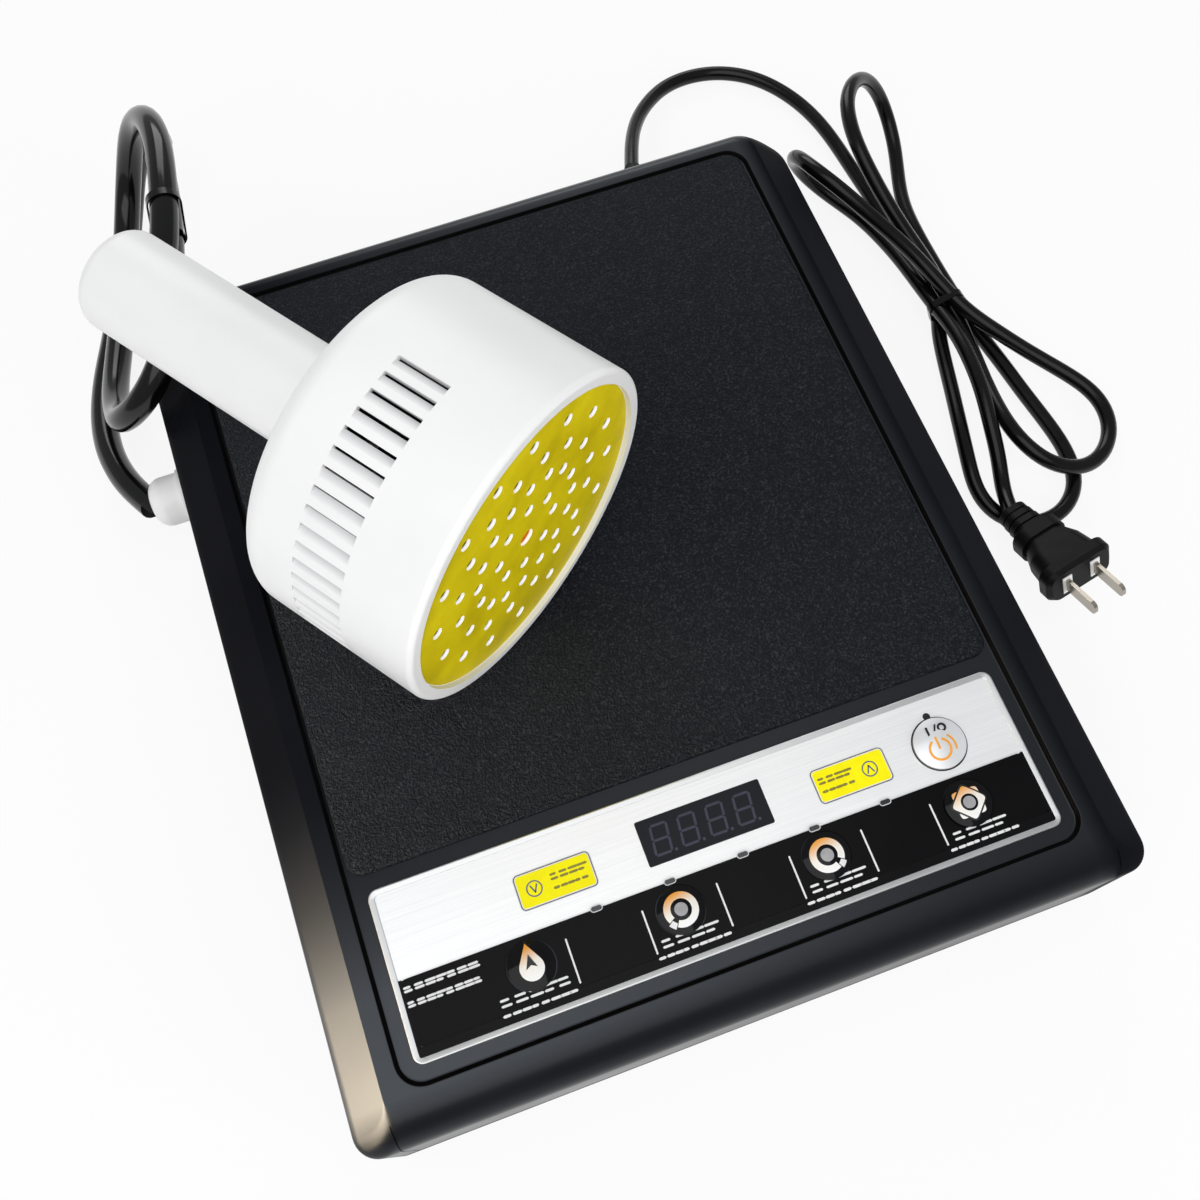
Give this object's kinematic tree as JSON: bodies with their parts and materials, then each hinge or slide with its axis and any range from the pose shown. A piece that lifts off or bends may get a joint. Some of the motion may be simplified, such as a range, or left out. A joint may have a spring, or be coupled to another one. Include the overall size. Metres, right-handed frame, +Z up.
{
  "type": "induction cap sealer",
  "caption": "Bench induction cap sealer: flat black case with key panel and display, round white sealing head with a yellow face lying on the top plate, head cable and mains lead with plug.",
  "frame": {"origin": "on the table, under the middle of the box that holds the case and the head (without the cords)", "axes": "+Z up, +Y to the back of the case, -Y the side with the key panel, +X to the right"},
  "size_m": [0.41, 0.4453, 0.1821],
  "materials": {
    "lower_shell": "satin black moulding",
    "upper_shell": "satin black moulding",
    "top_plate": "dark fine-grained panel",
    "rubber_feet": "matt black",
    "mains_bush": "matt black",
    "head_cable": "matt black",
    "mains_lead": "matt black",
    "cable_tie": "matt black",
    "lead_tie": "matt black",
    "plug_body": "matt black",
    "case_screws": "plated",
    "panel_screws": "plated",
    "board_screws": "plated",
    "carrier_screws": "plated",
    "handle_screws": "plated",
    "plug_blades": "plated",
    "plug_sleeves": "white insert",
    "fascia": "silver lacquer",
    "power_key": "silver lacquer",
    "key_strip": "gloss black",
    "mode_key": "gloss black",
    "level_key": "gloss black",
    "time_key": "gloss black",
    "fault_key": "gloss black",
    "display_window": "smoked clear",
    "display_module": "matt",
    "key_switches": "matt",
    "fan_frame": "matt",
    "fan_rotor": "matt",
    "trigger_switch": "matt",
    "power_transistors": "matt",
    "rectifier": "matt",
    "indicator_lamps": "clear",
    "power_lamp": "dark red clear",
    "control_board": "green laminate",
    "power_board": "green laminate",
    "heat_sink": "extruded",
    "bulk_capacitor": "sleeved can",
    "film_capacitors": "dipped",
    "choke": "enamelled copper",
    "coil": "enamelled copper",
    "transformer": "taped",
    "coil_terminals": "plain",
    "fuse": "clear tube in clips",
    "cable_gland": "white nylon",
    "gland_dome": "white nylon",
    "gland_nut": "white nylon",
    "head_shell": "white moulding",
    "handle": "white moulding",
    "handle_plug": "white moulding",
    "cable_outlet": "white moulding",
    "face_disc": "yellow laminate",
    "insulating_sheet": "white sheet",
    "coil_carrier": "natural",
    "ferrite_bars": "sintered",
    "thermal_sensor": "orange bead",
    "trigger_button": "red"
  },
  "bodies": {
    "sealer": {"lower_shell": "lower_shell", "upper_shell": "upper_shell", "top_plate": "top_plate", "rubber_feet": "rubber_feet", "mains_bush": "mains_bush", "head_cable": "head_cable", "mains_lead": "mains_lead", "cable_tie": "cable_tie", "lead_tie": "lead_tie", "plug_body": "plug_body", "case_screws": "case_screws", "panel_screws": "panel_screws", "board_screws": "board_screws", "carrier_screws": "carrier_screws", "handle_screws": "handle_screws", "plug_blades": "plug_blades", "plug_sleeves": "plug_sleeves", "fascia": "fascia", "key_strip": "key_strip", "display_window": "display_window", "display_module": "display_module", "key_switches": "key_switches", "fan_frame": "fan_frame", "trigger_switch": "trigger_switch", "power_transistors": "power_transistors", "rectifier": "rectifier", "indicator_lamps": "indicator_lamps", "power_lamp": "power_lamp", "control_board": "control_board", "power_board": "power_board", "heat_sink": "heat_sink", "bulk_capacitor": "bulk_capacitor", "film_capacitors": "film_capacitors", "choke": "choke", "coil": "coil", "transformer": "transformer", "coil_terminals": "coil_terminals", "fuse": "fuse", "cable_gland": "cable_gland", "gland_dome": "gland_dome", "gland_nut": "gland_nut", "head_shell": "head_shell", "handle": "handle", "handle_plug": "handle_plug", "cable_outlet": "cable_outlet", "face_disc": "face_disc", "insulating_sheet": "insulating_sheet", "coil_carrier": "coil_carrier", "ferrite_bars": "ferrite_bars", "thermal_sensor": "thermal_sensor"},
    "power_key": {"power_key": "power_key"},
    "mode_key": {"mode_key": "mode_key"},
    "level_key": {"level_key": "level_key"},
    "time_key": {"time_key": "time_key"},
    "fault_key": {"fault_key": "fault_key"},
    "fan": {"fan_rotor": "fan_rotor"},
    "trigger": {"trigger_button": "trigger_button"}
  },
  "joints": [
    {"name": "power_key_press", "type": "slide", "parent": "sealer", "child": "power_key", "axis": [0, 0, -1], "range_m": [0, 0.0012], "stiffness_N_per_m": 600, "springref_m": -0.001},
    {"name": "mode_key_press", "type": "slide", "parent": "sealer", "child": "mode_key", "axis": [0, 0, -1], "range_m": [0, 0.0012], "stiffness_N_per_m": 600, "springref_m": -0.001},
    {"name": "level_key_press", "type": "slide", "parent": "sealer", "child": "level_key", "axis": [0, 0, -1], "range_m": [0, 0.0012], "stiffness_N_per_m": 600, "springref_m": -0.001},
    {"name": "time_key_press", "type": "slide", "parent": "sealer", "child": "time_key", "axis": [0, 0, -1], "range_m": [0, 0.0012], "stiffness_N_per_m": 600, "springref_m": -0.001},
    {"name": "fault_key_press", "type": "slide", "parent": "sealer", "child": "fault_key", "axis": [0, 0, -1], "range_m": [0, 0.0012], "stiffness_N_per_m": 600, "springref_m": -0.001},
    {"name": "trigger_press", "type": "slide", "parent": "sealer", "child": "trigger", "axis": [0, 0, 1], "range_m": [0, 0.0025], "stiffness_N_per_m": 600, "springref_m": -0.001},
    {"name": "fan_spin", "type": "hinge", "parent": "sealer", "child": "fan", "pos_m": [-0.06, 0.073, 0.02], "axis": [0, 0, 1], "continuous": true}
  ]
}
